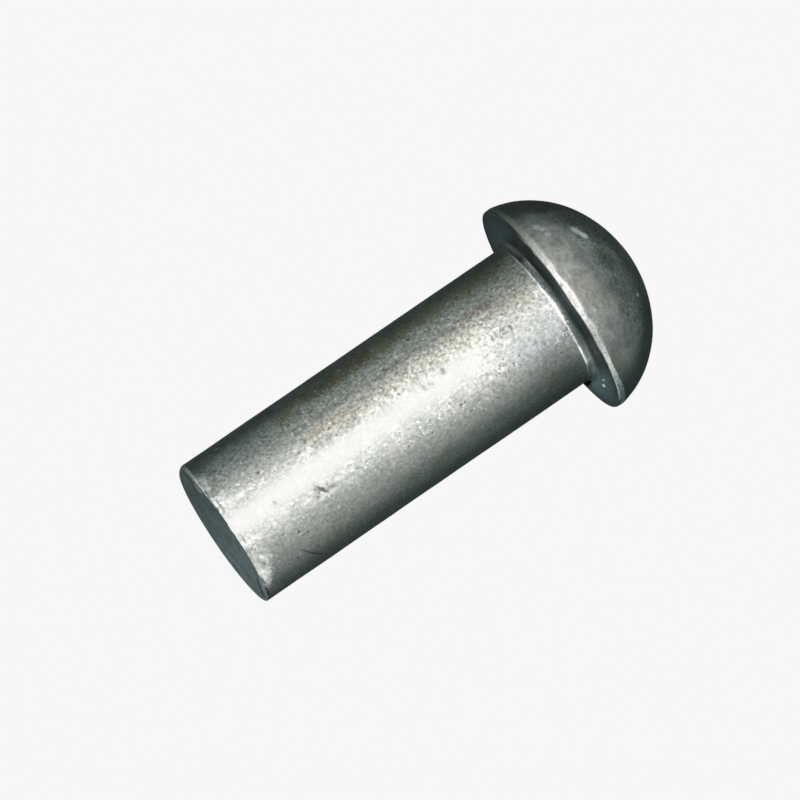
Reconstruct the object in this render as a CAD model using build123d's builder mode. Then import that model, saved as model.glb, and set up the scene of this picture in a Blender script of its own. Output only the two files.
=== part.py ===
"""Round head solid rivet, forged from plain round bar.

One piece of steel. A length of bar is cropped, one end is upset hot into a
domed head, and the other end stays as the shear left it: rolled over where
the blade went in, and sharp where it came out.

The origin is the centre of the bearing face, the flat ring under the head.
+Z runs along the axis towards the crown, so the shank hangs below the origin
and the rivet stands on its cropped end. The blade went in on the -X side.
"""

from build123d import *

import os
from math import cos, radians, sin

os.makedirs("parts", exist_ok=True)

# Driving dimensions, in millimetres.

# Shank
shank_diameter = 16.0
shank_length = 40.5  # bearing face to cropped end
neck_radius = 1.0  # hollow corner between the shank and the bearing face

# Head
head_diameter = 23.8
head_height = 9.6
rim_height = 0.75  # bearing face to the top of the short upright land round the rim
crown_angle = 33  # degrees from the axis to where the flatter crown meets the rounder shoulder
shoulder_lean = 12  # degrees that the shoulder still leans inwards where it meets the land
corner_chamfer = 0.2  # broken lower corner of the rim
crease_radius = 0.12  # rounding where the land meets the dome

# Cropped end
rollover_radius = 0.9  # rounding where the shear blade went in
rollover_shift = 0.6  # the rounding's ring stands off centre by this much, so it fades round the end
rollover_gap = 0.03  # and clears the shank by this much where the rounding is fullest

# Sizes that follow from them.
shank_radius = shank_diameter / 2
head_radius = head_diameter / 2

# The dome is a crown arc and a shoulder arc that run into each other. On radii
# of one, each arc covers this much out from the axis and this much down. The
# crown's own radius then brings the shoulder out at the top of the land.
crown_out = sin(radians(crown_angle))
crown_down = 1 - cos(radians(crown_angle))
shoulder_out = cos(radians(shoulder_lean)) - sin(radians(crown_angle))
shoulder_down = cos(radians(crown_angle)) - sin(radians(shoulder_lean))
crown_radius = (head_radius * shoulder_down - (head_height - rim_height) * shoulder_out) / (
    crown_out * shoulder_down - crown_down * shoulder_out
)

# What the shear took off the cropped end: a thick ring whose bore is rounded
# in at the bottom. The bore is wider than the shank and off centre, so its
# rounded edge bites into the shank on the -X side, bites less and less on the
# way round, and misses the shank altogether on the +X side.
with BuildPart() as crop_bore:
    with BuildSketch(Plane.XY.offset(-shank_length)):
        with Locations((rollover_shift, 0)):
            Circle(shank_radius + rollover_shift + rollover_gap)
    extrude(amount=2 * rollover_radius)
    bottom_edge = crop_bore.faces().sort_by(Axis.Z)[0].edges()
    fillet(bottom_edge, radius=rollover_radius)

with BuildPart() as crop_waste:
    with BuildSketch(Plane.XY.offset(-shank_length)):
        Circle(shank_diameter)
    extrude(amount=2 * rollover_radius)
    add(crop_bore.part, mode=Mode.SUBTRACT)

with BuildPart() as rivet:
    # Half of the section: down over the dome, round the rim, in along the
    # bearing face to the hollow neck, down the shank and in along its end.
    with BuildSketch(Plane.XZ):
        with BuildLine():
            crown = JernArc((0, head_height), (1, 0), crown_radius, -crown_angle)
            shoulder = TangentArc(crown @ 1, (head_radius, rim_height), tangent=crown % 1)
            neck_start = (shank_radius + neck_radius, 0)
            neck = RadiusArc(neck_start, (shank_radius, -neck_radius), -neck_radius)
            Polyline(
                shoulder @ 1,
                (head_radius, corner_chamfer),
                (head_radius - corner_chamfer, 0),
                neck_start,
            )
            Polyline(neck @ 1, (shank_radius, -shank_length), (0, -shank_length), crown @ 0)
        make_face()
    revolve(axis=Axis.Z)

    # The crease above the land is the upper of the two widest rings.
    rings = rivet.edges().filter_by(lambda edge: edge.is_closed)
    land_edges = rings.group_by(SortBy.RADIUS)[-1]
    fillet(land_edges.sort_by(Axis.Z)[-1], radius=crease_radius)

    add(crop_waste.part, mode=Mode.SUBTRACT)

rivet.part.label = "rivet"
export_step(rivet.part, "parts/rivet.step")
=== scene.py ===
# %% [markdown]
# # A round head solid rivet
# This notebook dresses one forged steel rivet. On the real thing a length of round bar is sheared
# off, one end is heated and upset into a domed head, and nothing else is done to it. So there is
# no separate part to build: the whole lesson is about one skin of metal, and about what the
# shear, the dies and the drum that it was tumbled in left on it.
#
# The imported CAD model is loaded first. It fixes the size and the place of everything that follows.

from math import atan2, cos, degrees, hypot, pi, radians, sin, sqrt

import bmesh
import bpy
from mathutils import Matrix, Vector


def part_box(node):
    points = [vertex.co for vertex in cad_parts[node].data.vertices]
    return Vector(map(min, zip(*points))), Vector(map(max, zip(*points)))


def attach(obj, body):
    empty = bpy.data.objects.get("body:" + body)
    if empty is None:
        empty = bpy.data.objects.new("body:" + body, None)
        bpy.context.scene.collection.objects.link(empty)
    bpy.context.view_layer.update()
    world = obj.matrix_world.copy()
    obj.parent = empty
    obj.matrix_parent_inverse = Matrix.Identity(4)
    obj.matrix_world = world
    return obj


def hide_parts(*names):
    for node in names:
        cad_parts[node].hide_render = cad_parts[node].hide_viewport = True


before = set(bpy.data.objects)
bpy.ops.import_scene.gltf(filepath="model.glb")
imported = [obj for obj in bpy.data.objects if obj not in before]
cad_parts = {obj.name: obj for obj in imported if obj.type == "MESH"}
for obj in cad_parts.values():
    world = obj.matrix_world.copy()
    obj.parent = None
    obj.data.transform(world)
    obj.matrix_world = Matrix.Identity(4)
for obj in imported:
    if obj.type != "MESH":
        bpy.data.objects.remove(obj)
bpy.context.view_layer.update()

# %% [markdown]
# ## The camera
# The rivet stands on its cropped end, and the camera looks at it from a little below the head,
# so that the end face and the underside of the head both show. It is far away with a long lens,
# which keeps the sides of the shank almost parallel, and it is rolled so that the rivet lies
# across the picture. The camera comes first because every later choice is judged through it.

# %% Place the camera
mm = 0.001
view_elevation = radians(-8.93)
view_distance = 780.6 * mm
view_roll = radians(55.59)
view_centre = Vector((-1.08, 0.04, -17.87)) * mm

camera_data = bpy.data.cameras.new("camera")
camera_data.lens = 349.6
camera_data.sensor_width = 36
camera_data.clip_start = 0.01
camera_data.clip_end = 20
camera = bpy.data.objects.new("camera", camera_data)
bpy.context.scene.collection.objects.link(camera)
tilt = Matrix.Rotation(pi / 2 - view_elevation, 4, "X")
roll = Matrix.Rotation(view_roll, 4, "Z")
backwards = Vector((0, -cos(view_elevation), sin(view_elevation)))
camera.matrix_world = Matrix.Translation(view_centre + view_distance * backwards) @ tilt @ roll
bpy.context.scene.camera = camera
print("camera at, mm:", [round(value / mm, 1) for value in camera.location])

# %% [markdown]
# ## Half of the section
# Everything about a rivet is round, so one half of its section says nearly all of its shape. It
# could be typed in as a long list of points. Here it is drawn as a turner would describe it: a
# single vertex is put on the crown and then led along, by spinning it about the centre of each
# arc and by extruding it along each straight. The pieces of each stretch set how fine the mesh
# is there, and they are smallest where small marks will be pressed in later.
#
# The overall sizes come from the frame, and the dome is worked out as the CAD model does it.

# %% Sizes of the section
low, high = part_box("rivet")
head_radius = high.x
head_height = high.z
end_height = low.z
shank_radius = 8 * mm
neck_radius = 1 * mm
rim_height = 0.75 * mm
crown_angle = radians(33)
shoulder_lean = radians(12)

crown_out = sin(crown_angle)
crown_down = 1 - cos(crown_angle)
shoulder_out = cos(shoulder_lean) - sin(crown_angle)
shoulder_down = cos(crown_angle) - sin(shoulder_lean)
dome_rise = head_height - rim_height
crown_radius = (head_radius * shoulder_down - dome_rise * shoulder_out) / (
    crown_out * shoulder_down - crown_down * shoulder_out
)
shoulder_radius = (dome_rise - crown_radius * crown_down) / shoulder_down
print("crown radius, mm:", round(crown_radius / mm, 2))
print("shoulder radius, mm:", round(shoulder_radius / mm, 2))

# %% A vertex that can be led along
def start_at(out, height):
    """A new mesh with one vertex at that distance from the axis, in edit mode."""
    bpy.ops.object.select_all(action="DESELECT")
    bpy.ops.mesh.primitive_plane_add(size=mm, location=(out, 0, height))
    bpy.ops.object.transform_apply(location=True, rotation=True, scale=True)
    bpy.ops.object.mode_set(mode="EDIT")
    bpy.ops.mesh.select_all(action="SELECT")
    bpy.ops.mesh.merge(type="CENTER")
    return bpy.context.object


def tip():
    """Where the selected end of the chain is now: its distance from the axis and its height."""
    mesh = bmesh.from_edit_mesh(bpy.context.object.data)
    end = next(vertex for vertex in mesh.verts if vertex.select)
    return end.co.x, end.co.z


def straight_to(out, height, pieces):
    """Extrudes the end of the chain along a straight line, in equal pieces."""
    x, z = tip()
    step = ((out - x) / pieces, 0, (height - z) / pieces)
    for _ in range(pieces):
        bpy.ops.mesh.extrude_region_move(TRANSFORM_OT_translate={"value": step})


def arc_about(out, height, turn, pieces):
    """Spins the end of the chain about that centre, clockwise seen from -Y."""
    bpy.ops.mesh.spin(steps=pieces, angle=-turn, center=(out, 0, height), axis=(0, 1, 0))

# %% Draw the half section
land_flare = 0.03 * mm
lower_corner = 0.17 * mm
crease_drop = 0.02 * mm
neck_lean = radians(12)
neck_hollow = neck_radius / (1 - sin(neck_lean))
neck_centre = shank_radius + neck_hollow * cos(neck_lean)
fine_stretch = 1.2 * mm
end_corner = 0.1 * mm
between_centres = crown_radius - shoulder_radius

rivet = start_at(0, head_height)
rivet.name = rivet.data.name = "rivet_skin"
arc_about(0, head_height - crown_radius, crown_angle, pieces=30)
arc_about(
    between_centres * sin(crown_angle),
    head_height - crown_radius + between_centres * cos(crown_angle),
    pi / 2 - crown_angle - shoulder_lean,
    pieces=34,
)
straight_to(head_radius, rim_height - crease_drop, pieces=1)
straight_to(head_radius - land_flare, lower_corner, pieces=5)
arc_about(head_radius - land_flare - lower_corner, lower_corner, pi / 2, pieces=6)
straight_to(neck_centre, 0, pieces=8)
arc_about(neck_centre, -neck_hollow, neck_lean - pi / 2, pieces=10)
straight_to(shank_radius, end_height + fine_stretch, pieces=178)
straight_to(shank_radius, end_height + end_corner, pieces=12)
arc_about(shank_radius - end_corner, end_height + end_corner, pi / 2, pieces=4)
straight_to(0, end_height, pieces=14)
bpy.ops.object.mode_set(mode="OBJECT")
print("half section:", len(rivet.data.vertices), "vertices")

# %% [markdown]
# ## Spin it round the axis
# One turn of the Spin tool makes the whole skin. The first and the last copy of the section lie
# on each other, and so do all the copies of the two points on the axis, so they are merged. Only
# then are the normals recalculated, because an open seam could leave them facing either way.

# %% Spin the section
turn_steps = 320
merge_distance = 0.002 * mm
bpy.ops.object.mode_set(mode="EDIT")
bpy.ops.mesh.select_all(action="SELECT")
bpy.ops.mesh.spin(steps=turn_steps, angle=2 * pi, center=(0, 0, 0), axis=(0, 0, 1))
bpy.ops.mesh.select_all(action="SELECT")
bpy.ops.mesh.remove_doubles(threshold=merge_distance)
bpy.ops.mesh.normals_make_consistent(inside=False)
bpy.ops.object.mode_set(mode="OBJECT")
print("skin:", len(rivet.data.vertices), "vertices,", len(rivet.data.polygons), "faces")

# %% [markdown]
# ## The cropped end
# The shear blade went in on the -X side and rolled that edge over, while the far side broke off
# square. In CAD this is cut by a ring whose bore is off centre. On a mesh that is already round
# it is simpler to say the same thing as a rule: a point may not stand outside that bore, so each
# ring near the end is drawn in as far as the bore asks for, and the end face shrinks with it.

# %% Draw in the cropped end
rollover_radius = 0.9 * mm
rollover_shift = 0.6 * mm
rollover_gap = 0.03 * mm
bore_radius = shank_radius + rollover_shift + rollover_gap


def bore_reach(angle, rise):
    """How far from the axis the bore reaches in that direction, at that rise above the end."""
    below = max(0.0, rollover_radius - rise)
    radius = bore_radius - rollover_radius + sqrt(rollover_radius**2 - below**2)
    return rollover_shift * cos(angle) + sqrt(radius**2 - (rollover_shift * sin(angle)) ** 2)


moved = 0
for vertex in rivet.data.vertices:
    rise = max(0.0, vertex.co.z - end_height)
    out = hypot(vertex.co.x, vertex.co.y)
    if rise > rollover_radius or out == 0:
        continue
    reach = min(1.0, bore_reach(atan2(vertex.co.y, vertex.co.x), rise) / shank_radius)
    vertex.co.x *= reach
    vertex.co.y *= reach
    moved += reach < 1
print("cropped end:", moved, "vertices drawn in")

# %% [markdown]
# ## The uneven land
# The land round the rim is where the two dies nearly met, and it came out wider in some places
# than in others. Its top edge is let down by an amount that depends on the direction, and the
# dome above it follows, less and less.

# %% Let the edges of the land wander
land_drops = (
    # degrees from the front towards +X, drop of the top edge and of the bottom edge, millimetres
    (-180, 0.06, 0.02), (-140, 0.12, 0.0), (-100, 0.03, 0.05), (-60, 0.08, 0.08),
    (-48, 0.05, 0.14), (-37, 0.0, 0.13), (-32, 0.0, 0.0), (-28, 0.02, 0.10), (-20, 0.03, 0.04),
    (-13, 0.17, 0.02), (-2, 0.0, 0.10), (4, 0.03, 0.12), (12, 0.20, 0.04), (20, 0.07, 0.04),
    (25, 0.18, 0.08), (29, 0.12, 0.12), (34, 0.18, 0.0), (42, 0.25, 0.0), (50, 0.19, 0.03),
    (62, 0.04, 0.0), (100, 0.10, 0.06), (140, 0.02, 0.0), (180, 0.06, 0.02),
)
top_edge, bottom_edge = 1, 2  # their columns in the table


def land_drop(facing, edge):
    """How far that edge of the land hangs down in that direction, in millimetres."""
    for before, after in zip(land_drops, land_drops[1:]):
        if before[0] <= facing <= after[0]:
            way = (facing - before[0]) / (after[0] - before[0])
            return before[edge] + (after[edge] - before[edge]) * way * way * (3 - 2 * way)
    return 0.0


def facing_of(point):
    """The direction of a point round the axis, in degrees from the front towards +X."""
    return degrees(atan2(point.x, -point.y))


fade_height = 2.6 * mm
fade_out = 1.2 * mm
land_lean = 0.035 * mm
lean_middle, lean_spread = 60, 45  # degrees
for vertex in rivet.data.vertices:
    height = vertex.co.z
    out = hypot(vertex.co.x, vertex.co.y)
    if out < head_radius - fade_out or not 0 <= height <= fade_height:
        continue
    facing = facing_of(vertex.co)
    below_rim = max(0.0, 1 - height / rim_height)
    top_share = min(height / rim_height, (fade_height - height) / (fade_height - rim_height))
    bottom_share = below_rim * ((out - head_radius + fade_out) / fade_out) ** 2
    top_drop = top_share * land_drop(facing, top_edge)
    vertex.co.z -= (top_drop + bottom_share * land_drop(facing, bottom_edge)) * mm
    lean_share = max(0.0, 1 - abs(facing - lean_middle) / lean_spread) ** 0.5 * below_rim
    vertex.co.xy *= 1 - lean_share * land_lean / out
print("land: its edges hang up to", max(max(row[1:]) for row in land_drops), "mm lower")

# %% [markdown]
# ## The uneven bar
# Hot rolled bar is never quite round, and tumbling with other rivets beats it a little more. Two
# Displace modifiers give the skin a long and a short waviness, a few hundredths of a millimetre
# deep. That is too little to see in the outline, but it makes the edges of every reflection
# wander, which is most of what tells forged steel from turned steel. They keep off the ends.
#
# The points that may move are in a vertex group. The modifiers ask for it by name, because
# applying the first one makes the groups anew, and a group kept in a variable is lost then.

# %% Wave the skin
def pick_rivet():
    """Makes the rivet the one selected and active object."""
    bpy.ops.object.select_all(action="DESELECT")
    rivet.select_set(True)
    bpy.context.view_layer.objects.active = rivet


def wave(name, size, height, depth):
    """Displaces the waved part of the skin by a cloud pattern of that size, in both directions."""
    cloud = bpy.data.textures.new(name, "CLOUDS")
    cloud.noise_scale = size
    cloud.noise_depth = depth
    displace = rivet.modifiers.new(name, "DISPLACE")
    displace.texture = cloud
    displace.texture_coords = "LOCAL"
    displace.strength = 2 * height
    displace.mid_level = 0.5
    displace.vertex_group = wave_mask
    bpy.ops.object.modifier_apply(modifier=name)


end_fade = 1.5 * mm
rim_fade = 0.6 * mm
top_fade = 0.3 * mm
rim_margin = 0.06  # share of the fade at the rim that stays still
pick_rivet()
wave_mask = "waved"
waved = rivet.vertex_groups.new(name=wave_mask)
for vertex in rivet.data.vertices:
    above_end = (vertex.co.z - end_height) / end_fade
    inside_rim = (head_radius - hypot(vertex.co.x, vertex.co.y)) / rim_fade - rim_margin
    below_top = (head_height - vertex.co.z) / top_fade
    weight = max(0.0, min(1.0, above_end, inside_rim, below_top))
    waved.add([vertex.index], weight, "REPLACE")
wave("long_wave", 5 * mm, 0.02 * mm, 0)
wave("short_wave", 1.3 * mm, 0.008 * mm, 1)
print("waved skin, mm:", [round(value / mm, 3) for value in rivet.dimensions])

# %% [markdown]
# ## Knocks and pits
# The marks that can be seen one by one are pressed into the mesh with proportional editing, the
# way it is done by hand: pick the vertex in the middle of the mark, push it along its normal, and
# let its neighbours follow it up to a chosen distance. Smooth falloff gives a soft knock, sphere
# falloff a pit with a clear lip, and a negative depth raises a burr.
#
# A place on the shank is said by its angle from the front, positive towards +X, and its height.

# %% A press for single marks
def on_shank(angle, height):
    """The place on the shank at that many degrees from the front and that many millimetres up."""
    turn = radians(angle)
    return Vector((shank_radius * sin(turn), -shank_radius * cos(turn), height * mm))


def press(place, depth, reach, falloff="SPHERE"):
    """Pushes the skin in at the vertex nearest to the place, depth and reach in millimetres."""
    mesh = bmesh.from_edit_mesh(rivet.data)
    middle = min(mesh.verts, key=lambda vertex: (vertex.co - place).length_squared)
    bpy.ops.mesh.select_all(action="DESELECT")
    middle.select_set(True)
    bpy.ops.transform.translate(
        value=-depth * mm * middle.normal,
        use_proportional_edit=True,
        proportional_edit_falloff=falloff,
        proportional_size=reach * mm,
    )


print("the front of the shank at its end, mm:", list(on_shank(0, -40.5) / mm))

# %% Knocks on the shank and its end
shank_marks = (
    # angle, height, depth, reach, and the falloff where it isn't a sphere
    (2, -35.3, 0.05, 0.34),
    (13, -30.9, 0.09, 0.42),
    (16, -30.6, 0.08, 0.40),
    (17.5, -31.3, 0.05, 0.30),
    (16.5, -29.8, 0.05, 0.30),
    (23.5, -31.1, 0.04, 0.30),
    (12, -29.0, 0.04, 0.50, "SMOOTH"),
    (14, -32.4, 0.04, 0.50, "SMOOTH"),
    (-6, -16.2, 0.06, 0.42),
    (-3, -15.5, 0.04, 0.36),
    (-7.5, -13.9, 0.06, 0.40),
    (-8, -8.7, 0.05, 0.36),
    (-7, -7.0, 0.10, 0.62),
    (-4, -6.4, 0.05, 0.36),
    (0, -7.9, 0.04, 0.30),
    (-0.5, -4.9, 0.04, 0.34),
    (9, -8.1, 0.05, 0.34),
    (15, -8.4, 0.04, 0.34),
    (14.5, -10.3, 0.06, 0.34),
    (-18.6, -30.4, 0.05, 0.30),
    (-21.5, -26.2, 0.04, 0.30),
)
end_marks = (
    (30, -40.4, 0.24, 1.6, "LINEAR"),
    (40, -40.4, 0.20, 1.4, "LINEAR"),
    (49, -40.4, 0.16, 1.1, "LINEAR"),
    (57, -40.4, 0.08, 0.8, "LINEAR"),
    (1, -40.45, -0.08, 0.7, "SHARP"),
    (-28, -40.4, -0.04, 0.5, "SHARP"),
    (8, -40.25, 0.05, 0.35, "SMOOTH"),
    (12, -40.25, 0.05, 0.35, "SMOOTH"),
    (-14, -40.2, 0.04, 0.35, "SMOOTH"),
    (-19, -40.2, 0.05, 0.4, "SMOOTH"),
    (22, -40.3, 0.05, 0.4, "SMOOTH"),
)
bpy.ops.object.mode_set(mode="EDIT")
for angle, height, *mark in shank_marks + end_marks:
    press(on_shank(angle, height), *mark)
print("marks pressed on the shank:", len(shank_marks), "and at its end:", len(end_marks))

# %% [markdown]
# ## Knocks on the dome
# The dome was hit too: three knocks in a row made a short streak, which is painted brighter later,
# and wide shallow ones left it a little flat in places, so that its reflections aren't those of a
# perfect ball. They are pressed in the same way, but placed by a point, because the dome has no
# angle and height of its own. Last, the end face is kept flat on the ground, whatever was pressed
# near it.

# %% Knocks on the dome
dome_knocks = (
    # place in millimetres, depth, reach, falloff
    ((-5.15, -8.45, 5.15), 0.05, 0.8, "SMOOTH"),
    ((-4.65, -8.4, 5.35), 0.06, 0.9, "SMOOTH"),
    ((-4.15, -8.4, 5.55), 0.04, 0.7, "SMOOTH"),
    ((-7.1, -9.1, 2.1), 0.03, 0.6, "SMOOTH"),
    ((3.7, -7.2, 6.9), 0.03, 0.4, "SPHERE"),
    ((8.6, -4.0, 5.0), 0.14, 3.2, "SMOOTH"),
    ((3.0, -10.3, 3.7), -0.05, 2.2, "SMOOTH"),
    ((6.0, -8.3, 4.6), 0.08, 2.0, "SMOOTH"),
    ((-6.0, -9.5, 2.9), 0.05, 1.8, "SMOOTH"),
    ((-1.0, -9.0, 6.0), 0.06, 2.4, "SMOOTH"),
    ((-2.0, -4.1, 8.8), 0.05, 2.8, "SMOOTH"),
)
for place, *knock in dome_knocks:
    press(Vector(place) * mm, *knock)
bpy.ops.object.mode_set(mode="OBJECT")
for vertex in rivet.data.vertices:
    vertex.co.z = max(vertex.co.z, end_height)
print("knocks pressed on the dome:", len(dome_knocks))

# %% [markdown]
# ## Smooth shading with real edges
# The skin is smooth, but the rim of the head and the cropped end have true edges. Shading by
# angle keeps those crisp and lets the rest flow.

# %% Shade the skin
pick_rivet()
crisp_angle = radians(35)
bpy.ops.object.shade_smooth_by_angle(angle=crisp_angle)
rivet.data.materials.clear()
print("sharp edges:", sum(edge.use_edge_sharp for edge in rivet.data.edges))

# %% [markdown]
# ## Helpers for the materials
# A shader is a graph, and a graph is easier to read when each node takes one line. So each helper
# adds a node, or the few nodes that often go together, and gives the socket of its result. An
# input is a value or the socket that feeds it, and a socket knows the tree that it belongs to.
# Directions round the axis are in degrees from the front, positive towards +X.

# %% Node helpers
def tree_of(values):
    """The node tree that the sockets among these values belong to."""
    return next(value.id_data for value in values if isinstance(value, bpy.types.NodeSocket))


def fill(node, inputs):
    """Links inputs of a node to the sockets that feed them, or sets their values."""
    for key, value in inputs.items():
        if isinstance(value, bpy.types.NodeSocket):
            node.id_data.links.new(value, node.inputs[key])
        else:
            node.inputs[key].default_value = value


def add(kind, inputs=None, tree=None, **options):
    """Adds a node of that kind, with its options set and its inputs filled."""
    inputs = inputs or {}
    node = (tree or tree_of(inputs.values())).nodes.new("ShaderNode" + kind)
    for name, value in options.items():
        setattr(node, name, value)
    fill(node, inputs)
    return node


def calculate(operation, *values):
    """A Math node on one, two or three values."""
    return add("Math", dict(enumerate(values)), operation=operation).outputs[0]


def times(product, *factors):
    """The product of two or more values."""
    for factor in factors:
        product = calculate("MULTIPLY", product, factor)
    return product


def times_plus(value, factor, added):
    """The value times the factor, plus what is added."""
    return calculate("MULTIPLY_ADD", value, factor, added)


def distance(first, second):
    """The distance that two distances at right angles make together."""
    return calculate("SQRT", times_plus(first, first, times(second, second)))


def round_axis(vector):
    """The x, y and z of a place, and its direction round the axis in degrees."""
    x, y, z = add("SeparateXYZ", {0: vector}).outputs
    return x, y, z, times(calculate("ARCTAN2", x, times(y, -1.0)), degrees(1))


print("one degree is", round(radians(1), 4), "radians")

# %% Helpers for masks and colours
def noise(vector, scale, detail, roughness=0.5):
    """Soft random values round a half."""
    inputs = {"Vector": vector, "Scale": scale, "Detail": detail, "Roughness": roughness}
    return add("TexNoise", inputs).outputs["Fac"]


def ruffled(value, unrest, amount):
    """The value made uneven by noise, by up to half the amount either way."""
    return times_plus(calculate("SUBTRACT", unrest, 0.5), amount, value)


def step_up(value, start, end, low=0.0, high=1.0):
    """A soft step: low before start, high after end."""
    inputs = {"Value": value, "From Min": start, "From Max": end, "To Min": low, "To Max": high}
    return add("MapRange", inputs, interpolation_type="SMOOTHSTEP").outputs[0]


def between(value, start, full, fading, end):
    """A soft band: 0 up to start, 1 from full to fading, and 0 again from end."""
    return times(step_up(value, start, full), step_up(value, end, fading))


def blend(amount, first, second, blend_type="MIX"):
    """Mixes two colours, from the first to the second as the amount goes from 0 to 1."""
    inputs = {"Factor": amount, 6: first, 7: second}
    return add("Mix", inputs, data_type="RGBA", blend_type=blend_type).outputs[2]


def mottled(color, mottle):
    """The colour made lighter and darker by the grain or by another value or colour."""
    return blend(1.0, color, mottle, "MULTIPLY")


def color_ramp(position, stops):
    """A colour that changes with a position from 0 to 1, from (position, colour) stops."""
    ramp = add("ValToRGB", {"Fac": position})
    while len(ramp.color_ramp.elements) < len(stops):
        ramp.color_ramp.elements.new(0.5)
    for element, (stop, shade) in zip(ramp.color_ramp.elements, stops):
        element.position = stop
        element.color = (*shade, 1)
    return ramp.outputs["Color"]


print("node groups so far:", len(bpy.data.node_groups))

# %% Helpers for node groups
def new_group(name, vectors, numbers=""):
    """A node group with those vector and number inputs, and the sockets that they come in by."""
    group = bpy.data.node_groups.new(name, "ShaderNodeTree")
    kinds = [(word, "Vector") for word in vectors.split()]
    kinds += [(word, "Float") for word in numbers.split()]
    for word, kind in kinds:
        group.interface.new_socket(word, in_out="INPUT", socket_type="NodeSocket" + kind)
    return group, *group.nodes.new("NodeGroupInput").outputs[: len(kinds)]


def give(group, **results):
    """Ends a node group: each of its results goes out under its name."""
    for name in results:
        group.interface.new_socket(name, in_out="OUTPUT", socket_type="NodeSocketFloat")
    fill(group.nodes.new("NodeGroupOutput"), results)
    print("group", group.name, "has", len(group.nodes), "nodes")


def use_group(group, *values):
    """Places a node group, with its inputs filled in their order."""
    return add("Group", dict(enumerate(values)), node_tree=group).outputs


def lay(color, tint, strength, group, *values):
    """Lays a tint over a colour through the mask of a group. Gives the new colour and the mask."""
    mask = use_group(group, *values)["Mask"]
    return blend(times(mask, strength), color, tint), mask


print("materials so far:", len(bpy.data.materials))

# %% [markdown]
# ## The grain of forged steel
# Scale falls off hot steel in flakes. It leaves the steel grainy, with pits where a flake was
# driven in. High spots were rubbed in the drum, and the bright flecks on them are painted glints.
# A picture of real grain would be quick to use, but it would have one fixed size and a seam. Noise
# textures in Object coordinates have neither, and they say the size of the grain in millimetres.
# Every stretch of the rivet needs grain, so it is a node group: its size, contrast and pitting go
# in, and a height, a light and dark mottle and two masks come out.

# %% Grain group
grain, place, size, contrast, pitting = new_group("grain", "Vector", "Size Contrast Pitting")
pitch = calculate("DIVIDE", 1.0, size)
coarse = noise(place, pitch, 3.0, 0.6)
pit_field = noise(place, times(pitch, 0.8), 2.0)
pit_edge = times_plus(noise(place, 0.5, 1.0), -0.35, 0.9)
pit_depth = calculate("SUBTRACT", pit_field, pit_edge)
pit = times(step_up(pit_depth, -0.06, 0.04), pitting)
fleck_field = noise(place, times(pitch, 1.15), 2.0)
fleck_zone = step_up(noise(place, 0.45, 2.0), 0.42, 0.58)
give(
    grain,
    Height=times_plus(pit, -0.4, coarse),
    Mottle=ruffled(1.0, coarse, contrast),
    Pit=pit,
    Fleck=times(step_up(fleck_field, 0.60, 0.68), fleck_zone),
)

# %% [markdown]
# ## Stains that cover part of the bar
# Oil, heat and rust tint whole areas of a bar, and their borders are soft and patchy. Such an
# area could be painted by hand on a texture. Here it is said by where it lies: a direction round
# the axis, a spread to both sides of it, a bottom and a top. Noise is added before the edge of
# the mask is cut, and that breaks the border up.

# %% Stain group
stain, place, angle, spread, bottom, top, patchiness = new_group(
    "stain", "Vector", "Angle Spread Bottom Top Patchiness"
)
_, _, height, facing = round_axis(place)
apart = calculate("ABSOLUTE", calculate("SUBTRACT", facing, angle))
beside = calculate("SUBTRACT", 1.0, calculate("DIVIDE", apart, spread))
over = times(calculate("SUBTRACT", height, bottom), 0.5)
under = times(calculate("SUBTRACT", top, height), 0.5)
along = step_up(calculate("MINIMUM", over, under), 0.0, 1.0)
inside = calculate("MINIMUM", step_up(beside, 0.0, 1.0), along)
uneven = ruffled(inside, noise(place, 0.55, 3.0, 0.6), patchiness)
give(stain, Mask=times(step_up(uneven, 0.25, 0.95), inside))

# %% [markdown]
# ## Single scratches
# A scratch is long, thin and crumbly. It could be cut into the mesh, but it has next to no depth
# and would need a very fine mesh, so a mask is enough. The shank is unrolled flat round the
# middle of the mark and turned to its direction. The way along it is divided by its length and
# the way across by its width, which makes an ellipse of it, and noise crumbles the ellipse.

# %% Scratch group
scratch, place, angle, middle, turn, length, width = new_group(
    "scratch", "Vector", "Angle Middle Turn Length Width"
)
_, _, height, facing = round_axis(place)
mm_per_degree = radians(shank_radius / mm)
sideways = times(calculate("SUBTRACT", facing, angle), mm_per_degree)
upwards = calculate("SUBTRACT", height, middle)
flat = add("CombineXYZ", {"X": sideways, "Y": upwards}).outputs[0]
turned = add("VectorRotate", {"Vector": flat, "Angle": turn}, rotation_type="Z_AXIS")
along, across, _ = add("SeparateXYZ", {0: turned.outputs[0]}).outputs
wobbly = ruffled(across, noise(place, 1.6, 3.0, 0.7), 0.35)
from_line = calculate("DIVIDE", wobbly, width)
from_middle = calculate("DIVIDE", along, length)
from_both = distance(from_line, from_middle)
crumbled = ruffled(from_both, noise(place, 3.5, 2.0, 0.6), 0.9)
give(scratch, Mask=step_up(crumbled, 0.5, 0.25))

# %% [markdown]
# ## Spots anywhere
# The dome and the flat faces can't be unrolled as the shank can, so a mark on them is placed by a
# point. Its mask is a ball round that point, stretched to its own size in each direction, with a
# ragged edge. It shows only where the ball cuts the skin.

# %% Spot group
spot, place, middle, size = new_group("spot", "Vector Middle Size")
apart = add("VectorMath", {0: place, 1: middle}, operation="SUBTRACT").outputs[0]
shrunk = add("VectorMath", {0: apart, 1: size}, operation="DIVIDE").outputs[0]
far = add("VectorMath", {0: shrunk}, operation="LENGTH").outputs["Value"]
ragged = ruffled(far, noise(place, 1.1, 4.0, 0.7), 1.4)
give(spot, Mask=step_up(ragged, 1.0, 0.4))

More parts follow.
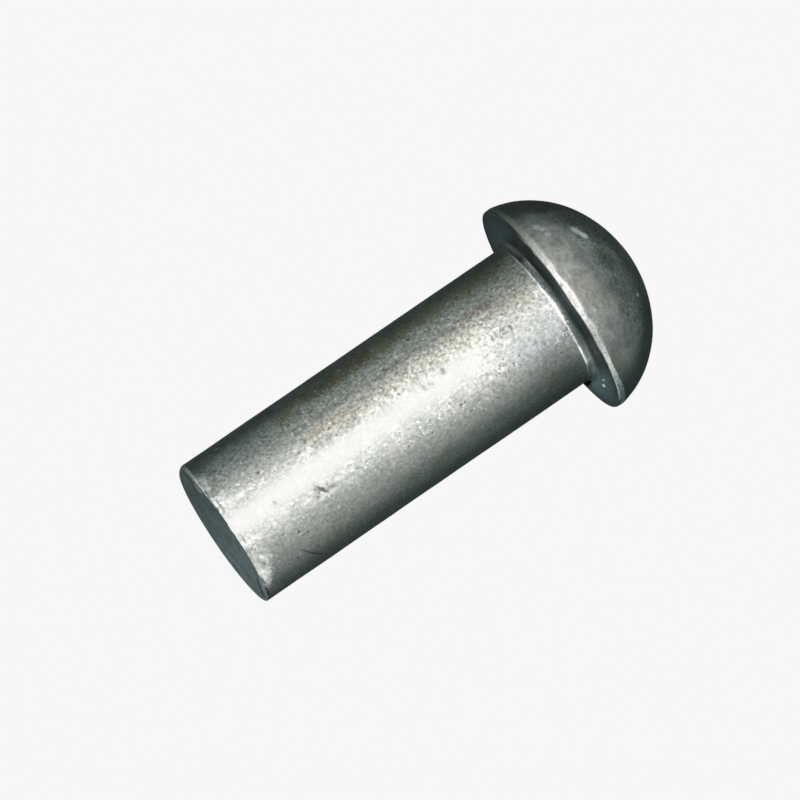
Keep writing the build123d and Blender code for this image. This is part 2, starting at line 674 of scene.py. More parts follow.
# %% [markdown]
# ## One steel and its colours
# All stretches of the rivet are the same steel, so all their materials start in the same way: a
# Principled shader that is fully metallic, and coordinates in millimetres. The colour of a metal
# is what it reflects, and steel under a thin oxide reflects a third to a half. The tints of the
# marks are named once, so that a soot mark is the same soot wherever it lies.

# %% Steel helpers and colours
def new_material(name):
    """A material with a shader of nodes."""
    material = bpy.data.materials.new(name)
    material.use_nodes = True
    return material, material.node_tree


def new_steel(name, roughness):
    """A metal material and its Object coordinates in millimetres."""
    material, tree = new_material(name)
    fill(tree.nodes["Principled BSDF"], {"Metallic": 1.0, "Roughness": roughness})
    place = add("TexCoord", tree=tree).outputs["Object"]
    return material, add("Mapping", {"Vector": place, "Scale": (1 / mm,) * 3}).outputs["Vector"]


def set_surface(material, color, height, depth, others=None):
    """Feeds a steel its colour, its bump of that depth in millimetres, and other inputs."""
    nodes = material.node_tree.nodes
    bump = add("Bump", {"Height": height, "Distance": depth * mm, "Strength": 1.0})
    inputs = {"Base Color": color, "Normal": bump.outputs["Normal"], **(others or {})}
    fill(nodes["Principled BSDF"], inputs)
    print(material.name, "is done:", len(nodes), "nodes")


steel_grey = (0.383, 0.38, 0.374, 1)
dull_grey = (0.335, 0.34, 0.33, 1)
olive = (0.25, 0.245, 0.155, 1)
cream = (0.385, 0.38, 0.335, 1)
rust = (0.28, 0.235, 0.20, 1)
slate = (0.17, 0.18, 0.175, 1)
# real soot in pits and in the crack, and also painted shade in hollows and corners
soot_and_shade = (0.05, 0.055, 0.055, 1)
blue_steel = (0.33, 0.36, 0.38, 1)
# highlight_steel and glint are the colours of painted highlights and painted glints
highlight_steel = (0.66, 0.655, 0.64, 1)
glint = (0.93, 0.93, 0.91, 1)
print("steel reflects", steel_grey[:3], "and a glint", glint[:3])

# %% Ways to lay a colour
def spotted(color, in_mm, spots):
    """Lays spots over a colour: their middle and size in millimetres, tint and strength."""
    for middle, size, tint, strength in spots:
        color, _ = lay(color, tint, strength, spot, in_mm, middle, size)
    return color


def unmetalled(color, in_mm, spots):
    """Lays spots whose last number is how little metal they are. Also gives the metal left."""
    metal = 1.0
    for middle, size, tint, lack in spots:
        color, mask = lay(color, tint, 1.0, spot, in_mm, middle, size)
        metal = times(metal, times_plus(mask, -lack, 1.0))
    return color, metal


print("spots use the group", spot.name, "and stains the group", stain.name)

# %% [markdown]
# ## The base of the bar
# The shank is hot rolled bar that was tumbled afterwards. Its base is two greys in clouds, with a
# slow change from a cool to a warm tone on top. The front, where it was rubbed most, is a clean
# even core, and next to it lies a creamy side where the oxide is thickest. Both are stains of
# the kind above, and their masks are kept, because the grain will need them.

# %% Base of the bar
bar_skin, in_mm = new_steel("bar_skin", 0.30)
x_place, _, height, facing = round_axis(in_mm)
clouds = noise(in_mm, 0.7, 4.0, 0.65)
color = blend(step_up(clouds, 0.35, 0.65), dull_grey, steel_grey)
hues = step_up(noise(in_mm, 0.5, 4.0, 0.65), 0.36, 0.62)
cool, warm = (0.93, 0.97, 0.965, 1), (1.04, 1.035, 1.02, 1)
color = mottled(color, blend(hues, cool, warm))
# After the strength come the angle, spread, bottom, top and patchiness, as in the table below.
color, speckled_side = lay(color, cream, 0.9, stain, in_mm, -20, 26, -31, 1, 1.8)
color, core = lay(color, steel_grey, 1.0, stain, in_mm, -1, 23, -44, -9, 0.7)
print("base of the bar:", len(bar_skin.node_tree.nodes), "nodes")

# %% [markdown]
# ## The grain of the bar
# The bar isn't grainy to the same degree all round. It is roughest on the creamy side and on the
# flecked side next to it, calm further round, and worn almost smooth on the core. One grain with
# a contrast that changes round the bar does it, where several grains would need borders.

# %% Grain of the bar
calm_side = calculate("MAXIMUM", step_up(facing, 20, 38), step_up(facing, -60, -90))
flecked_side = between(facing, -58, -46, -34, -26)
contrast = times_plus(speckled_side, 1.3, 1.5)
contrast = times_plus(calm_side, -0.35, contrast)
contrast = times_plus(flecked_side, 1.0, contrast)
contrast = calculate("MAXIMUM", times_plus(core, -1.5, contrast), 0.25)
pitting = calculate("SUBTRACT", 1.0, core)
grained = use_group(grain, in_mm, 0.36, contrast, pitting)
print("with its grain:", len(bar_skin.node_tree.nodes), "nodes")

# %% [markdown]
# ## Stains on the bar
# From the edge of the core to the far sides the bar is stained olive, teal, brown and blue, in
# patches that follow its length, and it is darker where it was dirty. Near the end, dark grey on
# the -X side is painted shade, and highlight steel at the front and on the +X side is a painted
# highlight. They are laid one over the other in this order, as a painter glazes. Pits come after
# them, because a pit is dark whatever lies round it, and the flecks, which are painted glints,
# last, because they lie over everything.

# %% Stains on the bar
worn_grey = (0.30, 0.31, 0.30, 1)
bar_stains = (
    # tint, strength, angle and spread in degrees, bottom and top in mm, patchiness
    (olive, 0.9, -58, 34, -31.5, 1, 2.4),
    ((0.33, 0.368, 0.35, 1), 0.8, -41, 14, -44, 2, 1.5),
    (rust, 0.8, -30, 7, -13, -5, 6.0),
    (rust, 0.45, -22, 11, -30, -18, 4.0),
    (blue_steel, 0.5, 18, 18, -8, 2, 2.0),
    (olive, 0.3, 62, 40, -36, 2, 3.0),
    (olive, 0.8, -50, 12, -31.6, -27.6, 2.0),
    ((0.20, 0.165, 0.11, 1), 0.8, -56, 16, -29, -17, 3.0),
    (slate, 0.4, -32, 6, -31, -4, 2.0),
    # the next two rows are painted shade on the -X side near the end
    ((0.18, 0.195, 0.19, 1), 0.8, -68, 26, -44, -28, 1.0),
    ((0.12, 0.14, 0.14, 1), 0.8, -82, 26, -43, -38.6, 1.0),
    ((0.22, 0.245, 0.225, 1), 0.45, 48, 14, -24, 2, 1.5),
    ((0.26, 0.255, 0.24, 1), 0.85, -14, 10, -30.5, -22, 2.0),
    ((0.27, 0.265, 0.25, 1), 0.4, -15, 9, -18.5, -11.5, 2.0),
    (worn_grey, 0.4, 24, 10, -33.5, -27, 2.0),
    (worn_grey, 0.4, 15, 8, -11.5, -6, 2.0),
    # this row is painted shade near the end, and the four rows after it are painted highlights there
    ((0.14, 0.15, 0.145, 1), 0.55, -56, 24, -44, -37.5, 1.0),
    (highlight_steel, 0.6, -22, 12, -44, -37.6, 1.5),
    (highlight_steel, 0.35, -17, 8, -44, -34.8, 1.5),
    (highlight_steel, 0.35, 15, 7, -44, -37.0, 1.5),
    (highlight_steel, 0.35, 68, 18, -44, -37.6, 1.5),
)
for tint, strength, *where in bar_stains:
    color, _ = lay(color, tint, strength, stain, in_mm, *where)
color = blend(grained["Pit"], color, slate)
# the flecks are painted glints, laid in glint colour and fewer on the core
off_core = times_plus(flecked_side, 0.25, times_plus(core, -0.36, 0.36))
color = blend(times(grained["Fleck"], off_core), color, glint)
print("stains on the bar:", len(bar_stains))

# %% [markdown]
# ## Marks that can be told apart
# Each of these is one scratch, dent or rubbed edge, in the places where the mesh was pressed in
# and in some where the mark has no depth. The bright ones are painted glints and highlights: at
# the end where the shear burnished the bar, and as specks along it. Dark ones are dirt that
# stayed in a hollow, except the last row, which is painted shadow in the corner at the neck. A
# table keeps them easy to change.

# %% Single marks on the bar
single_marks = (
    # angle and height of the middle, turn, length, width, tint, strength
    (38, -39.9, 98, 6.6, 2.7, highlight_steel, 0.75),
    (44, -40.0, 94, 2.2, 1.0, glint, 0.7),
    (30, -39.3, 90, 0.6, 0.5, glint, 0.7),
    (33.5, -38.5, 90, 0.7, 0.4, glint, 0.6),
    (-42, -40.1, 90, 3.4, 1.9, highlight_steel, 0.85),
    (-28.5, -40.42, 90, 2.0, 0.35, glint, 0.9),
    (-18, -39.9, 90, 3.4, 0.3, slate, 0.7),
    (11, -39.95, 90, 1.4, 0.3, slate, 0.8),
    (50, -40.3, 90, 2.0, 0.3, soot_and_shade, 0.8),
    (66, -40.4, 90, 3.4, 0.4, soot_and_shade, 1.0),
    (56.6, -34.4, 55, 3.9, 0.36, slate, 1.0),
    (46, -35.4, 90, 0.5, 0.4, slate, 0.6),
    (-34.9, -29.4, 0, 2.1, 0.24, slate, 0.7),
    (-34.9, -28.3, 0, 0.3, 0.3, highlight_steel, 0.9),
    (21.9, -9.6, 0, 1.6, 0.2, slate, 0.6),
    (21, -8.8, 90, 1.2, 0.2, slate, 0.6),
    (2, -35.3, 60, 0.7, 0.45, slate, 0.5),
    (13.5, -30.65, 59, 2.3, 0.34, slate, 1.0),
    (10.5, -31.2, 40, 0.6, 0.4, slate, 0.6),
    (16.5, -31.3, 30, 0.5, 0.4, slate, 0.8),
    (16.0, -29.6, 30, 0.5, 0.4, slate, 0.8),
    (21, -30.3, 0, 0.4, 0.3, highlight_steel, 0.9),
    (-18.2, -30.4, 80, 0.5, 0.4, rust, 0.9),
    (-6.0, -16.4, 75, 1.1, 0.5, slate, 0.5),
    (-4.6, -15.6, 30, 0.9, 0.4, slate, 0.5),
    (-7.9, -13.9, 110, 0.9, 0.45, slate, 0.8),
    (-6.8, -7.9, 105, 1.1, 0.4, slate, 0.85),
    (-8.2, -6.6, -15, 1.2, 0.36, soot_and_shade, 0.55),
    (-6.0, -5.8, 70, 0.8, 0.4, soot_and_shade, 0.65),
    (-4.6, -6.5, 25, 1.1, 0.36, soot_and_shade, 0.5),
    (-6.6, -7.0, 125, 0.6, 0.3, slate, 0.6),
    (-1.0, -7.7, 60, 0.7, 0.4, slate, 0.8),
    (14.5, -8.3, 20, 0.6, 0.4, slate, 0.7),
    (9.4, -8.2, 20, 0.5, 0.35, slate, 0.7),
    (19.8, -16.8, 60, 0.8, 0.28, highlight_steel, 0.9),
    (-27, -38.9, 0, 0.5, 0.4, highlight_steel, 0.8),
    (-25, -39.8, 0, 0.5, 0.4, highlight_steel, 0.8),
    (-34, -27.9, 60, 1.0, 0.6, highlight_steel, 0.5),
    (-34, -10.4, 40, 1.0, 0.4, highlight_steel, 0.6),
    (-30, -9.8, 0, 1.0, 0.4, highlight_steel, 0.6),
    (-37, -4.9, 0, 0.4, 0.35, highlight_steel, 0.8),
    (-25, -7.1, 0, 0.5, 0.35, highlight_steel, 0.7),
    (21.5, -2.5, 0, 0.4, 0.35, highlight_steel, 0.9),
    # painted shadow: the dark corner where the neck meets the head on the +X side
    (80, -1.35, 90, 2.6, 0.8, soot_and_shade, 0.9),
)
for angle, middle, turn, length, width, tint, strength in single_marks:
    shape = angle, middle, radians(turn - 90), length, width
    color, _ = lay(color, tint, strength, scratch, in_mm, *shape)
# painted highlight on the rolled edge at the end, on the -X side
color, _ = lay(color, highlight_steel, 0.4, stain, in_mm, -40, 20, -43.0, -38.6, 3.0)
print("single marks on the bar:", len(single_marks))

# %% [markdown]
# ## The neck
# Where the bar meets the head, the die drew it out and rubbed a narrow lip, and the bar beside the
# lip is cleaner than the dull stretch before it. The lip catches the light, and it is painted
# brighter as well: a painted highlight all round except on the -X side, with a painted glint on the
# +X side. On the two far sides the hollow is painted dark as shade. These are rings and parts of
# rings, so soft steps in height and direction make them.

# %% Neck
lip = between(height, -1.02, -0.95, -0.6, -0.3)
lip = times(lip, step_up(facing, -62, -44))
# painted highlight on the lip, then a painted glint on its +X side
color = blend(lip, color, highlight_steel)
lip_glint = times(lip, between(x_place, 4.2, 5.0, 6.2, 6.8))
color = blend(lip_glint, color, glint)
color = mottled(color, grained["Mottle"])
color = mottled(color, step_up(height, -9, -4.5, 1.0, 0.78))
color = mottled(color, step_up(height, -2.3, -1.1, 1.0, 1.26))
# painted shade in the hollow on the -X side
hollow_shade = between(facing, -140, -110, -46, -34)
color = blend(times(hollow_shade, step_up(height, -0.97, -0.8)), color, soot_and_shade)
# painted shade in the hollow on the +X side
far_shade_navy = (0.135, 0.165, 0.175, 1)
far_hollow_shade = times(step_up(x_place, 6.1, 7.0), step_up(height, -0.98, -0.82))
color = blend(far_hollow_shade, color, far_shade_navy)
print("bar with its neck:", len(bar_skin.node_tree.nodes), "nodes")

# %% [markdown]
# ## The surface of the bar
# The grain is also relief, but far too fine to model, so the Bump node tilts the normals by it. It
# is weaker on the calm sides. The roughness changes a little with the clouds, which breaks up
# the long reflection, and the lip is the smoothest part.

# %% Surface of the bar
roughness = times_plus(lip, -0.08, step_up(clouds, 0.3, 0.7, 0.32, 0.27))
relief = times(grained["Height"], times_plus(calm_side, -0.45, 1.0))
set_surface(bar_skin, color, relief, 0.035, {"Roughness": roughness})

# %% [markdown]
# ## The dome
# The dome has the skin of the die that closed on it. It is finer than the bar, clouded light and
# dark where scale lay between steel and die, and it stayed oily on one side. Behind, on the +X
# side, it is painted darker as shade.
# The same grain is used with a smaller size. Towards the crown, which the die touched last, the
# mottle is stronger.

# %% Clouds of the dome
die_skin, in_mm = new_steel("die_skin", 0.33)
x_place, y_place, height, facing = round_axis(in_mm)
contrast = step_up(height, 3.0, 6.0, 1.0, 2.3)
grained = use_group(grain, in_mm, 0.32, contrast, 0.4)
clouds = noise(in_mm, 0.55, 5.0, 0.65)
dark_cloud, light_cloud = (0.285, 0.295, 0.285, 1), (0.47, 0.465, 0.45, 1)
color = blend(step_up(clouds, 0.34, 0.64), dark_cloud, light_cloud)
patches = noise(in_mm, 0.28, 4.0, 0.65)
color = blend(step_up(patches, 0.5, 0.68, 0.0, 0.35), color, olive)
color = blend(grained["Pit"], color, slate)
oil, shade_teal = (0.13, 0.135, 0.11, 1), (0.155, 0.185, 0.18, 1)
wandering = ruffled(facing, patches, 45.84)
oiled = between(wandering, -150, -120, -66, -50)
color = blend(times(oiled, step_up(height, 8.6, 6.6), 0.75), color, oil)
# painted shade: the dome is darkened behind, on the +X side
shaded_behind = between(ruffled(y_place, clouds, 2.5), -7.9, -5.6, -1.0, 2.0)
color = blend(times(shaded_behind, step_up(x_place, 2.0, 5.5), 0.8), color, shade_teal)
print("clouds of the dome:", len(die_skin.node_tree.nodes), "nodes")

# %% [markdown]
# ## Marks on the dome
# A rubbed patch, an olive one, the bright streak over the three knocks, a few painted glints and a
# few specks of dirty steel are what the eye finds first on the dome. Each of them is made of spots.
# The patches lie under the mottle, and the streak and the specks are crisp, so they lie over it.
# The streak and the brightest speck are painted highlights: near white, and there the shader is a
# little less metallic, so that they stay bright.

# %% Marks on the dome
rubbed_grey = (0.66, 0.68, 0.66, 1)
dark_olive = (0.20, 0.23, 0.165, 1)
color = spotted(color, in_mm, (
    ((-3.9, -9.1, 5.0), (3.4, 1.6, 1.2), rubbed_grey, 0.65),
    ((-1.4, -10.0, 4.7), (2.2, 1.4, 1.0), rubbed_grey, 0.4),
    ((-1.0, -9.0, 6.0), (1.9, 1.4, 1.5), dark_olive, 0.6),
    ((-2.0, -9.4, 5.4), (1.4, 1.4, 1.2), dark_olive, 0.35),
))
color = mottled(color, step_up(height, 0.9, 2.2, 0.87, 1.0))
color = mottled(color, grained["Mottle"])
# painted glints and a painted highlight, then two specks of dirty steel
color = spotted(color, in_mm, (
    ((-7.66, -8.7, 1.95), (0.5, 0.45, 0.45), glint, 0.6),
    ((-7.1, -9.0, 2.3), (0.4, 0.4, 0.5), glint, 0.4),
    ((-6.4, -9.45, 2.4), (0.4, 0.45, 0.5), glint, 0.5),
    ((-6.1, -9.8, 2.0), (0.9, 0.6, 0.8), highlight_steel, 0.3),
    ((2.4, -11.4, 1.6), (0.35, 0.35, 0.3), glint, 0.25),
    ((4.7, -9.1, 4.5), (0.35, 0.35, 0.35), soot_and_shade, 0.5),
    ((1.9, -9.9, 4.8), (0.25, 0.3, 0.5), soot_and_shade, 0.3),
))
# painted highlights: the streak over the knocks and the brightest speck
color, metal = unmetalled(color, in_mm, (
    ((-5.2, -8.45, 5.15), (0.6, 0.7, 0.6), glint, 0.10),
    ((-4.75, -8.4, 5.35), (0.5, 0.6, 0.5), glint, 0.05),
    ((-4.25, -8.4, 5.5), (0.55, 0.6, 0.55), glint, 0.14),
    ((3.7, -7.2, 6.9), (0.34, 0.4, 0.34), glint, 0.10),
))
set_surface(die_skin, color, grained["Height"], 0.022, {"Metallic": metal})

# %% [markdown]
# ## The seat under the head
# The flat ring under the head was never rubbed, because the shank kept everything off it. Its light
# and shade are painted on: a colour ramp across the ring makes it dark blue green on the -X side
# and lighter in places towards +X. Its outer edge, in the corner under the rim, is painted darker
# as shade.
#
# A black spot behind the shank on the +X side is painted shadow in the corner at the neck, and two
# pale specks are painted glints. They aren't metal. Even black metal would mirror the tent at a
# flat angle, so the shader is made non-metallic where they are.

# %% Seat under the head
seat_skin, in_mm = new_steel("seat_skin", 0.36)
x_place, y_place, _ = add("SeparateXYZ", {0: in_mm}).outputs
grained = use_group(grain, in_mm, 0.5, 0.8, 0.3)
# painted light and shade across the seat, from -X to +X
seat_ramp_width = 24
seat_light_and_shade = (
    # distance towards +X in millimetres, colour
    (-11, (0.10, 0.15, 0.175)), (-9, (0.09, 0.14, 0.165)), (-8, (0.035, 0.045, 0.045)),
    (-4.8, (0.03, 0.035, 0.035)), (-3, (0.10, 0.125, 0.13)), (0, (0.26, 0.33, 0.36)),
    (3, (0.16, 0.20, 0.215)), (6, (0.12, 0.145, 0.155)), (7.3, (0.15, 0.195, 0.225)),
    (9, (0.46, 0.59, 0.64)),
)
stops = [(place / seat_ramp_width + 0.5, shade) for place, shade in seat_light_and_shade]
color = color_ramp(times_plus(x_place, 1 / seat_ramp_width, 0.5), stops)
out = distance(x_place, y_place)
# painted shade towards the outer edge, in the corner under the rim
color = mottled(color, step_up(out, 9.0, 11.0, 0.9, 0.45))
color = mottled(color, step_up(out, 10.7, 11.3, 1.0, 0.5))
color = mottled(color, grained["Mottle"])
# painted shadow in the corner at the neck, and two painted glints that aren't metal
corner_shadow = (0.005, 0.006, 0.006, 1)
pale_glint, dim_glint = (0.90, 0.92, 0.90, 1), (0.60, 0.62, 0.60, 1)
color, metal = unmetalled(color, in_mm, (
    ((8.2, 6.0, 0.0), (0.78, 4.6, 0.8), corner_shadow, 1.0),
    ((9.33, -0.7, 0.0), (0.26, 0.9, 0.5), pale_glint, 1.0),
    ((8.83, -2.3, 0.0), (0.19, 0.65, 0.5), dim_glint, 1.0),
))
others = {"Metallic": metal, "Specular IOR Level": 0.0}
set_surface(seat_skin, color, grained["Height"], 0.02, others)

# %% [markdown]
# ## The land round the rim
# The land is the narrow cylinder between the two dies. It stands out furthest, so it was rubbed
# bright, most of all from the front towards +X, and there it is also painted brighter as a
# highlight, while the -X side stayed dull and olive. Its lower edge on both far sides is painted
# dark as shade. The brightness changes only round the rim, so soft steps in direction make it.

# %% Rim land
rim_land, in_mm = new_steel("rim_land", 0.30)
_, _, height, facing = round_axis(in_mm)
dull_side = step_up(facing, -30, -48)
contrast = times_plus(dull_side, -0.7, 1.4)
grained = use_group(grain, in_mm, 0.4, contrast, 0.8)
# painted highlight: from the front towards +X the land is painted brighter than rubbed steel
land_grey, rubbed_and_lit = (0.45, 0.445, 0.43, 1), (0.88, 0.91, 0.90, 1)
bright_side = between(facing, 22, 40, 85, 110)
color = blend(bright_side, land_grey, rubbed_and_lit)
color = mottled(color, step_up(facing, 6, 14, 1.0, 0.84))
from_front = calculate("ABSOLUTE", facing)
color = mottled(color, step_up(from_front, 4, 16, 0.85, 1.0))
color = blend(times(dull_side, 0.55), color, olive)
# painted shade along the land's lower edge on both far sides
far_side = calculate("MAXIMUM", dull_side, step_up(facing, 66, 80))
shade_under_land = times(far_side, step_up(height, 0.2, 0.1))
color = blend(shade_under_land, color, soot_and_shade)
color = blend(grained["Pit"], color, slate)
color = mottled(color, grained["Mottle"])
set_surface(rim_land, color, grained["Height"], 0.03)

# %% [markdown]
# ## The sheared end
# The end face was torn, not cut, so it is the roughest and has the bluish grey of bare steel. The
# blade burnished it a little more towards +X. A row of dark spots along its far edge is the crack
# that the tear began from, and the bright spots are painted glints: where the burr was knocked off,
# and on the rolled edge at -X.

# %% Sheared end
sheared_end, in_mm = new_steel("sheared_end", 0.45)
x_place = add("SeparateXYZ", {0: in_mm}).outputs["X"]
grained = use_group(grain, in_mm, 0.5, 1.2, 0.3)
clouds = step_up(noise(in_mm, 0.5, 4.0, 0.65), 0.3, 0.7)
torn_dark, torn_light = (0.24, 0.275, 0.30, 1), (0.44, 0.475, 0.50, 1)
color = blend(clouds, torn_dark, torn_light)
color = mottled(color, step_up(x_place, -6.0, 4.0, 0.75, 1.25))
color = blend(grained["Pit"], color, slate)
color = mottled(color, grained["Mottle"])
# painted glints at the rolled edge and near the crack, then the dark spots of the crack
color = spotted(color, in_mm, (
    ((-5.2, -5.3, -40.5), (1.0, 1.1, 0.6), glint, 0.9),
    ((-3.6, -7.0, -40.5), (0.9, 0.4, 0.4), soot_and_shade, 0.9),
    ((6.2, -4.2, -40.5), (0.6, 0.9, 0.6), glint, 0.8),
    ((6.8, -3.0, -40.5), (0.5, 0.9, 0.6), glint, 0.8),
    ((5.7, -3.3, -40.5), (0.4, 0.6, 0.5), soot_and_shade, 0.9),
    ((6.1, -2.5, -40.5), (0.4, 0.6, 0.5), soot_and_shade, 0.9),
    ((6.5, -1.8, -40.5), (0.4, 0.6, 0.5), soot_and_shade, 1.0),
    ((6.9, -1.0, -40.5), (0.4, 0.6, 0.5), soot_and_shade, 1.0),
    ((7.25, -0.3, -40.5), (0.4, 0.6, 0.5), soot_and_shade, 1.0),
))
set_surface(sheared_end, color, grained["Height"], 0.02)

# %% [markdown]
# ## Give each stretch its skin
# One mesh can wear several materials, each face naming its own by a number. Faces could be picked
# by hand, but where a stretch begins and ends is known from the section, so a rule on the height
# and the distance from the axis gives every face its skin and leaves no gap.

# %% Give each stretch its skin
under_crease = 0.01  # millimetres
land_reach = land_flare + 0.8 * lower_corner
end_margin = 0.03 * mm
seat_start = shank_radius + 0.5 * neck_radius
downwards = -0.7  # a normal below this points to the ground


def skin_of(face):
    """The material that a face wears."""
    height = face.center.z
    out = hypot(face.center.x, face.center.y)
    if height > rim_height - (land_drop(facing_of(face.center), top_edge) + under_crease) * mm:
        return die_skin
    if out > head_radius - land_reach:
        return rim_land
    if height < end_height + end_margin and face.normal.z < downwards:
        return sheared_end
    if out > seat_start and height > -neck_radius:
        return seat_skin
    return bar_skin


skins = (bar_skin, seat_skin, rim_land, die_skin, sheared_end)
for material in skins:
    rivet.data.materials.append(material)
for face in rivet.data.polygons:
    face.material_index = skins.index(skin_of(face))
for slot, material in enumerate(skins):
    covered = sum(face.material_index == slot for face in rivet.data.polygons)
    print(material.name, "covers", covered, "faces")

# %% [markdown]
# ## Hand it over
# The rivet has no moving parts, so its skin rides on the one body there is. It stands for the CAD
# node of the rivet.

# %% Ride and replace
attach(rivet, "root")
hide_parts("rivet")
print(rivet.name, "rides on root and replaces rivet")

# %% [markdown]
# ## The floor
# A pale sheet of paper lies under the rivet. From below it must not be in the way, so its back is
# transparent, and it fades out with distance, so that a low view has no line where it ends.

# %% Floor
stage_centre = Vector((0, 0, -15.5)) * mm
floor_gap = 0.02 * mm
floor_radius = 6  # metres
floor_height = end_height - floor_gap
bpy.ops.object.select_all(action="DESELECT")
bpy.ops.mesh.primitive_circle_add(
    vertices=128, radius=floor_radius, fill_type="NGON", location=(0, 0, floor_height)
)
floor = bpy.context.object
floor.name = "floor"
floor.visible_glossy = floor.visible_shadow = False
floor_paper, tree = new_material("floor_paper")
paper = tree.nodes["Principled BSDF"]
paper_grey = (0.85, 0.85, 0.85, 1)
fill(paper, {"Base Color": paper_grey, "Roughness": 0.9, "Specular IOR Level": 0.0})
from_below = add("NewGeometry", tree=tree).outputs["Backfacing"]
on_floor = add("TexCoord", tree=tree).outputs["Object"]
away = add("VectorMath", {0: on_floor}, operation="LENGTH").outputs["Value"]
fade_start, fade_end = 0.09, 0.34  # metres from the axis
faded = calculate("MAXIMUM", step_up(away, fade_start, fade_end), from_below)
clear = add("BsdfTransparent", tree=tree).outputs[0]
one_sided = add("MixShader", {0: faded, 1: paper.outputs["BSDF"], 2: clear})
fill(tree.nodes["Material Output"], {"Surface": one_sided.outputs[0]})
floor.data.materials.append(floor_paper)
print("floor at, mm:", round(floor_height / mm, 2))

# %% [markdown]
# ## The light tent
# Bare steel has hardly any colour of its own: what is seen is mostly what stands round it. In a
# studio that is a tent of cloth with a bright window in front and dark gaps behind. The tent here
# is a sphere that only reflections can see, so it neither shows nor lights the floor.
#
# Its light is given in bands: one level with the rivet, one below, one above and one for the
# table. Each says how bright the cloth is round the tent, from behind through the front to
# behind again.

# %% Tent and its bands
tent_radius = 0.4
brightest = 4.0
bpy.ops.mesh.primitive_uv_sphere_add(
    segments=96, ring_count=48, radius=tent_radius, location=stage_centre
)
tent = bpy.context.object
tent.name = "light_tent"
bpy.ops.object.transform_apply(location=True, rotation=True, scale=True)
tent.visible_camera = tent.visible_diffuse = tent.visible_shadow = False
tent_cloth, cloth = new_material("tent_cloth")
cloth.nodes.clear()

place = add("TexCoord", tree=cloth).outputs["Object"]
from_centre = add("VectorMath", {0: place, 1: stage_centre}, operation="SUBTRACT").outputs[0]
_, _, z_place, facing = round_axis(from_centre)
round_tent = times_plus(facing, 1 / 360, 0.5)
rise = calculate("ARCSINE", calculate("DIVIDE", z_place, tent_radius))
up = times(rise, degrees(1))


def around(levels, full=brightest):
    """A value round the tent from (degrees from the front, value) pairs, as a share of full."""
    stops = [(facing / 360 + 0.5, (level / full,) * 3) for facing, level in levels]
    return color_ramp(round_tent, stops)


level_band = around((
    (-180, 0.05), (-150, 0.06), (-128, 0.09), (-112, 0.21), (-97, 0.35), (-85, 0.50), (-63, 0.74),
    (-44, 1.25), (-28, 2.4), (-16, 2.75), (14, 2.75), (28, 2.25), (44, 1.3), (63, 0.74), (85, 0.39),
    (97, 0.25), (111, 0.16), (128, 0.08), (150, 0.05), (180, 0.05)))
low_band = around((
    (-180, 0.16), (-160, 0.16), (-140, 0.3), (-115, 0.3), (-104, 0.33), (-87, 0.38), (-73, 0.5),
    (-59, 1.0), (-40, 1.5), (-20, 2.2), (0, 2.7), (20, 2.2), (40, 1.3), (60, 1.2), (85, 1.3),
    (95, 1.1), (107, 0.6), (122, 0.3), (150, 0.17), (180, 0.16)))
high_band = around((
    (-180, 0.04), (-150, 0.05), (-120, 0.08), (-102, 0.16), (-85, 0.42), (-50, 0.74), (0, 0.78),
    (50, 0.58), (90, 0.32), (120, 0.18), (150, 0.06), (180, 0.05)))
table_band = around((
    (-180, 0.10), (-152, 0.15), (-136, 1.1), (-122, 0.8), (-100, 0.35), (-70, 0.12), (-40, 0.26),
    (0, 0.34), (40, 0.26), (90, 0.14), (118, 0.3), (134, 0.9), (150, 0.15), (180, 0.10)))
reach_down = around((
    # here the value is how many degrees below level the window hangs
    (-180, 26), (-148, 16), (-118, 14), (-100, 18), (-60, 17), (-33, 18), (-22, 24), (-11, 33),
    (0, 40), (11, 33), (22, 24), (33, 18), (60, 17), (105, 17), (120, 13), (150, 14), (180, 26)),
    full=90)
print("bands of the tent:", len(cloth.nodes), "nodes")

# %% [markdown]
# ## Blend the bands
# From the table upwards one band fades into the next. The window hangs down furthest in front,
# so the border between the low band and the table follows it. Dim cloth looks a little blue
# green, as deep shade does in a pale room, and bright cloth looks white, so a ramp tints the
# light by how bright it is.

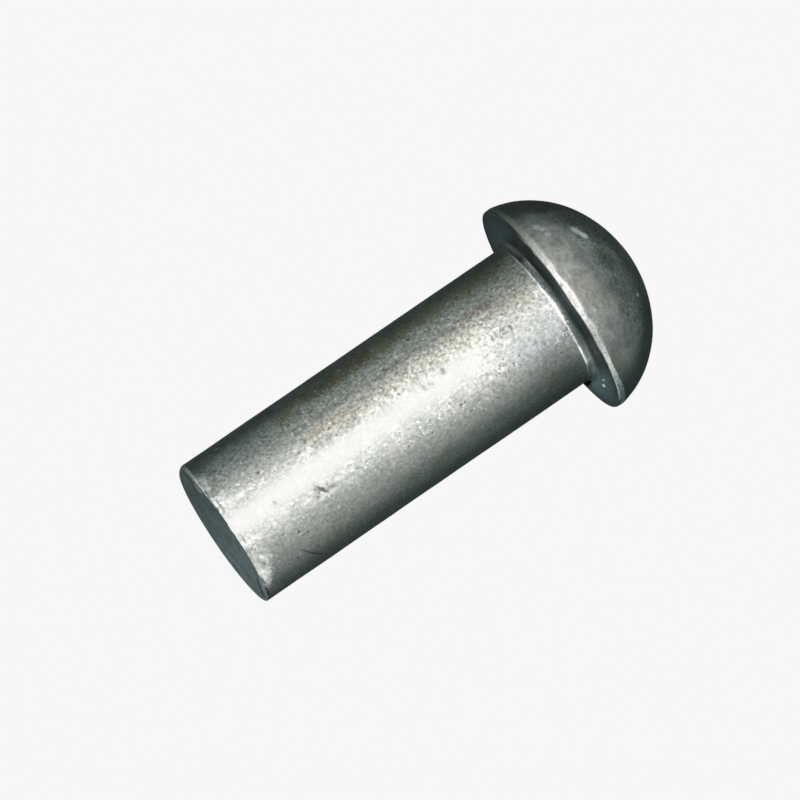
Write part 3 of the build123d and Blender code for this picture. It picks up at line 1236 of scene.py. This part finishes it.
# %% Blend the bands and light the tent
ceiling = (0.22 / brightest,) * 3 + (1,)
past_reach = calculate("SUBTRACT", times(up, -1 / 90), reach_down)
light = blend(step_up(past_reach, -0.06, 0.06), low_band, table_band)
light = blend(step_up(up, -4, 4), light, level_band)
light = blend(step_up(up, 20, 36), light, high_band)
light = blend(step_up(up, 52, 78), light, ceiling)
shades = (
    # share of the brightest, tint
    (0.0, (0.60, 1, 1.03)), (0.03, (0.72, 1, 1.0)), (0.08, (0.86, 1, 0.96)),
    (0.15, (0.93, 1, 0.96)), (0.3, (0.98, 1, 0.98)), (0.5, (1, 1, 1)),
)
light = mottled(light, color_ramp(light, shades))
glow = add("Emission", {"Color": light, "Strength": brightest})
add("OutputMaterial", {"Surface": glow.outputs[0]})
tent.data.materials.append(tent_cloth)
print("tent: radius in mm", tent_radius / mm, "and brightest cloth", brightest)

# %% [markdown]
# ## One lamp and the air
# A wide soft lamp from above gives the floor its soft shadow. It is kept out of reflections,
# because the tent already is what the steel reflects. The world is a pale grey that is a little
# weaker as light than as background.

# %% Lamp and air
lamp_data = bpy.data.lights.new("soft_lamp", "AREA")
lamp_data.shape = "DISK"
lamp_data.size = 0.8
lamp_data.energy = 12
lamp = bpy.data.objects.new("soft_lamp", lamp_data)
bpy.context.scene.collection.objects.link(lamp)
lamp.location = (-0.5, -0.7, 1.2)
lamp.rotation_euler = (stage_centre - lamp.location).to_track_quat("-Z", "Y").to_euler()
lamp.visible_glossy = False

world = bpy.data.worlds.new("studio_air")
world.use_nodes = True
bpy.context.scene.world = world
air = world.node_tree
rays = add("LightPath", tree=air).outputs
seen = calculate("MAXIMUM", rays["Is Camera Ray"], rays["Is Glossy Ray"])
seen = calculate("MAXIMUM", seen, rays["Is Transmission Ray"])
strength = add("MapRange", {"Value": seen, "To Min": 0.6, "To Max": 1.0}).outputs[0]
fill(air.nodes["Background"], {"Color": (0.93, 0.93, 0.93, 1), "Strength": strength})
print("lamp of", lamp_data.energy, "W and a pale world")

# %% [markdown]
# ## Finish
# The colours are shown as they are, without a film look.

# %% Finish
bpy.context.scene.view_settings.view_transform = "Standard"
